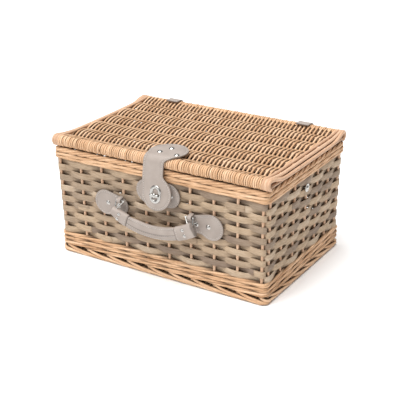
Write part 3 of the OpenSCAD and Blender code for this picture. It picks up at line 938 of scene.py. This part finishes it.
def comma_outline(side, inner, inner_r, outer, outer_r, hollow_r):
    """A large outer lobe and a small inner one, straight on top and hollowed below."""
    slope = degrees(asin((outer_r - inner_r) / (outer - inner)))
    reach_o, reach_i = outer_r + hollow_r, inner_r + hollow_r
    gap = outer - inner
    along = (reach_i ** 2 - reach_o ** 2 + gap ** 2) / (2 * gap)
    depth = sqrt(reach_i ** 2 - along ** 2)
    cx, cy = inner + along, -depth
    at_inner = degrees(atan2(-cy, inner - cx))
    at_outer = degrees(atan2(-cy, outer - cx))
    points = arc(inner, 0, inner_r, 90 + slope, 180 + at_inner, 30)
    points += arc(cx, cy, hollow_r, at_inner, at_outer, 14)[1:-1]
    points += arc(outer, 0, outer_r, at_outer - 180, 90 + slope, 44)
    return [(side * u, v) for u, v in (points if side > 0 else reversed(points))]


def build_handle_patches():
    middle_x = box_middle("handle_grip")[0]
    inner_r, hollow_r = 14.5 * MM, 16 * MM
    for side, node in ((-1, "handle_patch_left"), (1, "handle_patch_right")):
        inner_end, outer_end = sorted(abs(corner.x - middle_x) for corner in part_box(node))
        outer_r = box_half(node)[2]
        outline = comma_outline(side, inner_end + inner_r, inner_r, outer_end - outer_r, outer_r, hollow_r)
        build_patch(node, outline, middle_x)


def build_patch_loops():
    """The fold of each patch round its wire ring."""
    thick = 1.7 * MM
    for node in ("patch_loop_left", "patch_loop_right"):
        lo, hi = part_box(node)
        x, _, axis_z = box_middle(node)
        radius = box_half(node)[2]
        axis_y = lo.y + radius
        bend = radius - thick / 2
        near = axis_y + 2.4 * MM
        points = [(hi.y, axis_z + bend + 1.2 * MM), (near, axis_z + bend + 0.3 * MM)]
        points += arc(axis_y, axis_z, bend, 90, 270, 16)
        points += [(near, axis_z - bend - 0.3 * MM), (hi.y, axis_z - bend - 1.2 * MM)]
        strands = Strands()
        strands.sweep([(x, y, z) for y, z in points], chip_profile(hi.x - lo.x, thick), (1, 0, 0), offset=2)
        strands.finish(node + "_leather", "basket", "leather", node, materials=[leather])


def strap_row(left, right, thick):
    """The cross-section of a strap as (across, up) points; left and right reach to the edge and the groove."""
    ease = min(LEATHER_EASE, (left[0] + right[0]) / 4)
    t = thick / 2

    def rim(reach):
        edge, *lines = reach
        lines = [min(line, edge - ease * k) for line, k in zip(lines, (1.1, 1.4, 1.7))]
        points = [(edge, t - ease), (edge - ease * 0.35, t - ease * 0.3), (edge - ease, t)]
        return points + list(zip(lines, (t, t - GROOVE_DEEP, t)))

    left_rim, right_rim = rim(left), rim(right)
    start, end = -left_rim[-1][0], right_rim[-1][0]
    across = [start + (end - start) * f for f in (0.17, 0.33, 0.5, 0.67, 0.83)]
    top = [(-u, v) for u, v in left_rim] + [(u, t) for u in across] + right_rim[::-1]
    bottom = [(right[0], -t + ease), (right[0] - ease, -t)] + [(u, -t) for u in across[::-1]]
    bottom += [(-left[0] + ease, -t), (-left[0], -t + ease)]
    return top + bottom


RIM_TONES = [0.92, 0.75, 0.5, 0.5, 0.5, 0.5]
STRAP_TONES = RIM_TONES + [0.5] * 5 + RIM_TONES[::-1] + [0.92, 0.6] + [0.5] * 5 + [0.6, 0.92]
# painted shade darkens the stitching groove along each edge of a strap
RIM_SHADES = [0, 0, 0, 0.05, 0.75, 0.05]
STRAP_SHADES = RIM_SHADES + [0] * 5 + RIM_SHADES[::-1] + [0] * 9


def strap_mesh(strands, x, path, reach, thick):
    """A strap that follows (y, z) points; reach(s, side, margin) is how far it reaches from x to each side."""
    path = np.array(path)
    verts, grains = [], []
    for (y, z), (ty, tz), s in zip(path, tangents(path), distances(path)):
        left, right = ([reach(s, side, margin) for margin in (0.0, *GROOVE)] for side in (-1, 1))
        row = strap_row(left, right, thick)
        for u, v in row:
            verts.append((x + u, y + v * tz, z - v * ty))
            grains.append((s, u, v + 5.0))
    n, m = len(path), len(row)
    faces = [(a, d, c, b) for a, b, c, d in ring_faces(n, m)]
    faces.append(tuple(range(m)))
    faces.append(tuple(reversed(range((n - 1) * m, n * m))))
    shade = np.tile(STRAP_SHADES, n)
    strands.add(np.array(verts), np.array(grains), np.tile(STRAP_TONES, n), faces, shade=shade)


def on_path(x, path):
    """The length of a strap's path, and a map from (distance along, across, height) to the model's frame."""
    path = np.array(path)
    along = distances(path)
    columns = np.column_stack([path, tangents(path)]).T

    def place(s, u, h):
        y, z, ty, tz = (np.interp(s, along, column) for column in columns)
        return (x + u, y + h * tz, z - h * ty)
    return along[-1], place


def edge_line(reach, total, count):
    """The line of stitching along both edges of a strap."""
    margin = GROOVE[1]
    stations = np.linspace(margin, total - margin, count)
    right = [(s, reach(s, 1, margin)) for s in stations]
    return right + [(s, -reach(s, -1, margin)) for s in stations[::-1]]


def lobe(s, centre, radius):
    """Half width of a round end of a strap at distance s."""
    return sqrt(max(radius ** 2 - (s - centre) ** 2, 0))


# Angle at which the flap hangs, radius of its round end, and half the width of the neck and of a tip's first row
LEAN = radians(10)
LOBE_R = 26.5 * MM
NECK_HALF = 18.5 * MM
TIP_HALF = 0.9 * MM


def least_half(margin):
    """Half width left at the very tip of a strap, so that its rows never shrink to a point."""
    return TIP_HALF * (1 - margin / (4 * MM))


def strap_reach(x, total):
    """How far the closing strap reaches from x to each side, at distance s from its rear end."""
    flap_lo, flap_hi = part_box("strap_flap")
    head_r = box_half("strap_head")[0]
    head_x = box_middle("strap_head")[0] - x
    neck_x = flap_lo.x + NECK_HALF - x
    lobe_x = flap_hi.x - LOBE_R - x
    grid = np.linspace(0, total, 600)
    window = np.hanning(61)
    edges = {}
    for side in (-1, 1):
        raw = []
        for s in grid:
            into_lobe = smooth_step((s - total + 2.2 * LOBE_R) / (1.2 * LOBE_R))
            neck_edge = NECK_HALF + side * neck_x
            lobe_edge = LOBE_R + side * lobe_x
            neck = neck_edge + min(lobe_edge - neck_edge, 0) * into_lobe
            head = lobe(s, head_r, head_r) + side * head_x
            end = lobe(s, total - LOBE_R, LOBE_R) + side * lobe_x
            raw.append(max(head, neck, end))
        raw = np.array(raw)
        edges[side] = np.convolve(np.pad(raw, 30, mode="edge"), window / window.sum(), "valid")

    def reach(s, side, margin):
        least = least_half(margin)
        if s < head_r:
            return max(lobe(s, head_r, head_r - margin), least) + side * head_x
        if s > total - LOBE_R:
            return max(lobe(s, total - LOBE_R, LOBE_R - margin), least) + side * lobe_x
        return float(np.interp(s, grid, edges[side])) - margin
    return reach


def build_strap():
    """The closing strap in one piece: round head on the lid, neck over the rail, hanging flap."""
    head_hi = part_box("strap_head")[1]
    flap_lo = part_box("strap_flap")[0]
    x = box_middle("lock_eyelet")[0]
    rail_r = head_hi.z - RAIL_Z - LEATHER_T / 2
    head_z = RAIL_Z + rail_r
    rear_y = head_hi.y
    # the round ends need closer rows
    top = [(rear_y - (rear_y + RAIL_Y) * (k / 50) ** 1.6, head_z) for k in range(50)]
    bend = [(-RAIL_Y + y, RAIL_Z + z) for y, z in arc(0, 0, rail_r, 90, 170, 18)]
    y0, z0 = bend[-1]
    length = (z0 - flap_lo.z) / cos(LEAN)
    drop = [1 - (1 - k / 64) ** 1.5 for k in range(1, 65)]
    hang = [(y0 - sin(LEAN) * length * t, z0 - cos(LEAN) * length * t) for t in drop]
    path = top + bend + hang
    total, place = on_path(x, path)
    reach = strap_reach(x, total)
    strands = Strands()
    strap_mesh(strands, x, path, reach, LEATHER_T)
    strap = strands.build("closing_strap", [leather])
    cut_slot(strap, x)
    start, end = (x, y0, z0 + 3 * MM), (x, y0 - 2 * MM, z0 - 9 * MM)
    over_rail = ("lid", "latch_strap", start, end)
    finish_piece(strap, over_rail, "leather", "strap_head", "strap_flap")
    strands = Strands()
    stitches(strands, edge_line(reach, total, 400), place, LEATHER_T / 2 - STITCH_SUNK, mat=0)
    strands.finish("closing_strap_thread", over_rail, "leather", materials=[thread])


# Width and height of the eyelet's inside, and how much larger the cut in the leather is
SLOT = (8.6 * MM, 17.6 * MM)
SLOT_ROOM = 2 * MM


def stadium(width, height, count=24):
    """A closed outline with straight sides and round ends, taller than wide, anticlockwise."""
    r, straight = width / 2, (height - width) / 2
    return arc(0, straight, r, 0, 180, count) + arc(0, -straight, r, 180, 360, count)


def flap_frame():
    """Centre of the lock on the flap, and the flap's up and outward directions."""
    centre = np.array(box_middle("lock_eyelet"))
    up = np.array([0, sin(LEAN), cos(LEAN)])
    out = np.array([0, -cos(LEAN), sin(LEAN)])
    return centre, up, out


def cut_slot(strap, x):
    """Cuts the slot for the eyelet through the flap."""
    (_, y, z), up, out = flap_frame()
    outline = stadium(*(size + SLOT_ROOM for size in SLOT))
    reach = 8 * MM
    verts = [tuple(np.array([x + u, y, z]) + up * v + out * d) for d in (-reach, reach) for u, v in outline]
    n = len(outline)
    faces = [tuple(range(n)), tuple(reversed(range(n, 2 * n)))]
    faces += [(k, k + n, (k + 1) % n + n, (k + 1) % n) for k in range(n)]
    mesh = bpy.data.meshes.new("slot_cutter")
    mesh.from_pydata(verts, [], faces)
    cutter = add_object("slot_cutter", mesh)
    cut = strap.modifiers.new("slot", "BOOLEAN")
    cut.operation = "DIFFERENCE"
    cut.object = cutter
    cut.solver = "EXACT"
    bpy.context.view_layer.update()
    evaluated = strap.evaluated_get(bpy.context.evaluated_depsgraph_get())
    strap.data = bpy.data.meshes.new_from_object(evaluated)
    strap.modifiers.clear()
    bpy.data.objects.remove(cutter)


def build_hinges():
    """Leather hinge straps in one piece each, from the lid's rear rail to the back wall."""
    thick = 2.3 * MM
    for name in ("left", "right"):
        wall_leaf, lid_leaf = f"hinge_{name}_wall_leaf", f"hinge_{name}_lid_leaf"
        lid_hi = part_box(lid_leaf)[1]
        wall_lo, wall_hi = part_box(wall_leaf)
        x, half = box_middle(wall_leaf)[0], box_half(wall_leaf)[0]
        mid_r = lid_hi.z - RAIL_Z - thick / 2
        bend = [(RAIL_Y + y, RAIL_Z + z) for y, z in arc(0, 0, mid_r, 106, -20, 24)]
        zs = wall_hi.z - (wall_hi.z - wall_lo.z) * (1 - (1 - np.linspace(0, 1, 34)) ** 1.5)
        wall = [(half_dims(z)[1] + 0.1 * MM + thick / 2, z) for z in zs]
        y0, z0 = bend[-1]
        free = [(y0 + (wall[0][0] - y0) * t, z0 + (wall[0][1] - z0) * t) for t in (0.2, 0.4, 0.6, 0.8)]
        flat = [(RAIL_Y - reach_in * MM, RAIL_Z + mid_r) for reach_in in (11, 10.7, 9, 7, 4)]
        path = (flat + bend[2:] + free + wall)[::-1]
        total, place = on_path(x, path)

        def reach(s, _, margin):
            if s > half:
                return half - margin
            return max(lobe(s, half, half - margin), least_half(margin))

        strands = Strands()
        strap_mesh(strands, x, path, reach, thick)
        stitches(strands, edge_line(reach, total, 160), place, thick / 2 - STITCH_SUNK, closed=False)
        wall_y, wall_z = wall[0]
        bodies = ("basket", "lid", (x, wall_y, wall_z + 0.5 * MM), (x, wall_y, z0 - 0.5 * MM))
        strands.finish(f"hinge_{name}_leather", bodies, "leather", wall_leaf, lid_leaf)


# ---------------------------------------------------------------- handle

def grip_profile(width, thick, groove, count=72):
    """Cross-section of the padded grip: a = across the curve, b = outwards, grooved at its seam."""
    points = []
    for k in range(count):
        a = 2 * pi * k / count
        c, s = cos(a), sin(a)
        u = width / 2 * copysign(abs(c) ** 0.62, c)
        v = thick / 2 * copysign(abs(s) ** 0.8, s)
        if groove and s > 0:
            v -= 0.8 * MM * exp(-((u - groove) / (0.9 * MM)) ** 2)
        points.append((u, v))
    return points


# Distance across the grip and the depth of painted shade along its seam groove and its two rows of stitches
GRIP_LINES = [(2.6 * MM, 0.7), (8.2 * MM, 0.35), (-8.2 * MM, 0.35)]


# Radius of the handle's curve, and the angles in degrees to which the grip reaches and between which a wrap lies
HANDLE_R = 147 * MM
GRIP_WIDTH, WRAP_WIDTH = 21 * MM, 23 * MM
GRIP_TO = 18.6
WRAP_FROM, WRAP_TO = 18.0, 31.0


def build_handle():
    middle_x, y, _ = box_middle("handle_grip")
    half_thick, half_wrap = box_half("handle_grip")[1], box_half("handle_end_right")[1]
    radius = HANDLE_R
    centre_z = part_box("handle_grip")[0].z + GRIP_WIDTH / 2 + radius
    seam = GRIP_LINES[0][0]

    def arc_path(a0, a1, count):
        angles = np.radians(np.linspace(a0, a1, count))
        return [(middle_x + radius * sin(a), y, centre_z - radius * cos(a)) for a in angles]

    def downwards(path):
        """Unit vectors away from the centre of the handle's curve."""
        return unit(np.array(path) - np.array([middle_x, y, centre_z]))

    def surface(height):
        """Maps (arc length, distance below the middle line) to the front of the handle."""
        def place(s, v, h):
            a = s / radius
            r = radius + v
            return (middle_x + r * sin(a), y - height - h, centre_z - r * cos(a))
        return place

    strands = Strands()
    path = arc_path(-GRIP_TO, GRIP_TO, 60)
    ts = np.linspace(-1, 1, 60)
    edge = np.abs(ts)
    # the left half narrows towards its wrap
    slim = 1 - 0.12 * smooth_step((edge - 0.55) / 0.45) * (ts < 0)
    scale = np.stack([slim - 0.03 * edge ** 6, 1 - 0.12 * edge ** 4], 1)
    profile = grip_profile(GRIP_WIDTH, 2 * half_thick, seam)
    # painted shade: dark lines along the seam groove and the rows of stitches, and a dark band where the grip goes
    # in under a wrap
    lines = [sum(d * exp(-((u - at) / (0.8 * MM)) ** 2) for at, d in GRIP_LINES) for u, _ in profile]
    painted_shade_at_wrap = 0.8 * smooth_step((edge - 0.935) / 0.03)
    shade = np.maximum(np.array(lines)[None], painted_shade_at_wrap[:, None])
    strands.sweep(path, profile, downwards(path), scale=scale, shade=shade, offset=3)
    reach = radians(GRIP_TO - 1) * radius
    for v, _ in GRIP_LINES:
        height = half_thick - (0.5 if v == seam else 0.85) * MM
        stitches(strands, [(s, v) for s in np.linspace(-reach, reach, 60)], surface(height), 0, closed=False)
    grip = strands.finish("handle_grip_leather", "handle", "leather", "handle_grip")

    for side, node in ((-1, "handle_end_left"), (1, "handle_end_right")):
        strands = Strands()
        path = arc_path(*sorted((side * WRAP_FROM, side * WRAP_TO)), 26)
        ts = np.linspace(0, 1, 26)
        ease = np.minimum(np.minimum(ts, 1 - ts) / 0.06, 1)
        # the left wrap narrows towards its ring
        slim = 0.6 + 0.3 * smooth_step(ts * 1.2) if side < 0 else np.ones(26)
        scale = np.stack([slim * (0.94 + 0.06 * ease), 0.86 + 0.14 * ease], 1)
        profile = grip_profile(WRAP_WIDTH, 2 * half_wrap, 0)
        tones = 0.5 + 0.45 * (1 - ease)
        strands.sweep(path, profile, downwards(path), scale=scale, tone=tones, offset=4, dome=0.3 * MM)
        across = [(side * radians(WRAP_FROM + 1.3) * radius, v) for v in np.linspace(-8.5, 8.5, 12) * MM]
        stitches(strands, across, surface(half_wrap - 0.25 * MM), 0, closed=False)
        strands.finish(node + "_leather", "handle", "leather", node)


# ---------------------------------------------------------------- lock

def build_eyelet():
    """The oval metal eyelet set in the flap's slot."""
    centre, up, out = flap_frame()
    slot = np.array(stadium(*SLOT, 20))
    tangent = tangents(slot, closed=True)
    outward = np.stack([tangent[:, 1], -tangent[:, 0]], 1)
    # distance out from the slot's edge, and height above the middle of the leather, in millimetres
    profile = [
        (0.0, -1.9), (0.5, -2.3), (3.4, -2.25), (3.7, -1.45), (1.0, -1.45), (0.95, 1.45),
        (5.3, 1.45), (5.75, 1.7), (5.3, 2.3), (4.2, 2.75), (2.8, 2.9), (1.2, 2.7), (0.25, 2.2), (0.0, 1.2),
    ]
    middle = centre - out * (out @ centre) + out * flap_plane(out)
    verts, grains = [], []
    for (u, v), (nx, ny) in zip(slot, outward):
        for r, h in profile:
            a, b = u + nx * r * MM, v + ny * r * MM
            verts.append(middle + np.array([a, 0, 0]) + up * b + out * (h * MM))
            grains.append((a, b, h * MM))
    strands = Strands()
    faces = ring_faces(len(slot), len(profile), closed=True)
    strands.add(np.array(verts), np.array(grains), 0.5, faces)
    strands.finish("lock_eyelet_metal", "latch_strap", "metal", "lock_eyelet")


def flap_plane(out):
    """Distance along out of the middle of the flap's leather."""
    rail_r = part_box("strap_head")[1].z - RAIL_Z - LEATHER_T / 2
    start = np.array([0, -RAIL_Y - rail_r * cos(LEAN), RAIL_Z + rail_r * sin(LEAN)])
    return out @ start


def build_knob():
    """The turn knob: a rounded bar with a domed boss."""
    x, y, z = box_middle("lock_knob")
    half, half_depth, _ = box_half("lock_knob")
    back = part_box("lock_knob")[1].y
    strands = Strands()
    ts = np.sin(np.linspace(-1, 1, 30) * pi / 2)
    path = [(x + half * t, y, z) for t in ts]
    body = np.clip(1 - np.abs(ts) ** 8, 0.05, 1) ** 0.5
    waist = 1 - 0.16 * np.exp(-(ts / 0.45) ** 2)
    profile = [(u * 2.5 * MM, v * half_depth) for u, v in round_profile(1, 18)]
    strands.sweep(path, profile, (0, 0, 1), scale=np.stack([body * waist, body], 1))
    # height and radius of the boss, from the back to the front, in millimetres
    rings = [(0.0, 3.6), (0.9, 3.9), (1.9, 3.6), (2.8, 2.7), (3.2, 1.3)]
    boss = [(x, back - d * MM, z) for d, _ in rings]
    scale = np.array([r for _, r in rings])[:, None]
    strands.sweep(boss, round_profile(1 * MM, 24), (0, 0, 1), scale=scale, dome=0.15 * MM)
    strands.finish("turn_knob_metal", "turn_knob", "metal", "lock_knob")


METAL_NODES = [
    "lock_backing_rivets", "lock_base", "patch_rivets_left", "patch_rivets_right", "hinge_wall_rivets",
    "side_rivets", "strap_head_rivets", "handle_end_rivets", "ring_left", "ring_right",
]


def dress_metal():
    """Gives the metal CAD nodes their finish."""
    for name in METAL_NODES:
        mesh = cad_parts[name].data
        mesh.materials.clear()
        mesh.materials.append(nickel)


# ---------------------------------------------------------------- studio

CAMERA_PLACE = (0.7902, -1.2573, 0.7177)
CAMERA_TURN, CAMERA_DOWN, CAMERA_ROLL = 32.17, 23.07, -0.66
CAMERA_LENS = 87.35


def build_camera():
    data = bpy.data.cameras.new("camera")
    data.lens = CAMERA_LENS
    data.sensor_width = 36
    data.dof.use_dof = False
    camera = add_object("camera", data)
    camera.location = CAMERA_PLACE
    turn = rotation("Z", CAMERA_TURN) @ rotation("X", 90 - CAMERA_DOWN) @ rotation("Z", CAMERA_ROLL)
    camera.rotation_euler = turn.to_euler()
    bpy.context.scene.camera = camera


def rotation(axis, angle):
    return Matrix.Rotation(radians(angle), 3, axis)


def soft_sun(name, towards, spread, power):
    """A distant soft light; towards points from the basket to the light."""
    data = bpy.data.lights.new(name, "SUN")
    data.angle = radians(spread)
    data.energy = power
    add_object(name, data).rotation_euler = Vector(towards).to_track_quat("Z", "Y").to_euler()


FLOOR_REACH = 30
FLOOR_Z = -0.4 * MM
AMBIENT = 0.34


def build_studio():
    """A plain pale floor and soft light from the upper left front."""
    mesh = bpy.data.meshes.new("floor")
    corners = [(x * FLOOR_REACH, y * FLOOR_REACH, 0) for x, y in ((-1, -1), (1, -1), (1, 1), (-1, 1))]
    mesh.from_pydata(corners, [], [(0, 1, 2, 3)])
    floor = add_object("floor", mesh)
    floor.location.z = FLOOR_Z
    n = Nodes("floor")
    paper = n.noise(n.new("ShaderNodeTexCoord").outputs["Object"], 300, 2)
    n.link(n.ramp(paper, [(0.0, (0.94, 0.94, 0.94)), (1.0, (0.96, 0.96, 0.96))]), "Base Color")
    n.fix("Roughness", 0.9)
    n.fix("Specular IOR Level", 0.1)
    mesh.materials.append(n.material)

    world = bpy.data.worlds.new("studio")
    world.use_nodes = True
    sky = world.node_tree.nodes["Background"].inputs
    sky["Color"].default_value = (1, 1, 1, 1)
    sky["Strength"].default_value = AMBIENT
    bpy.context.scene.world = world
    soft_sun("overhead", (-0.08, -0.15, 1.0), spread=50, power=3.7)
    soft_sun("front_left", (-0.45, -1.0, 0.75), spread=40, power=0.9)
    bpy.context.scene.view_settings.view_transform = "Standard"


build_camera()
build_studio()
build_stakes()
build_chips()
build_bottom_wale()
build_top_wale()
build_rim()
build_foot()
build_base()
build_lid_rods()
build_lid_sticks()
build_side_rods()
build_handle()
build_handle_patches()
build_patch_loops()
build_lock_backing()
build_strap()
build_hinges()
build_eyelet()
build_knob()
dress_metal()
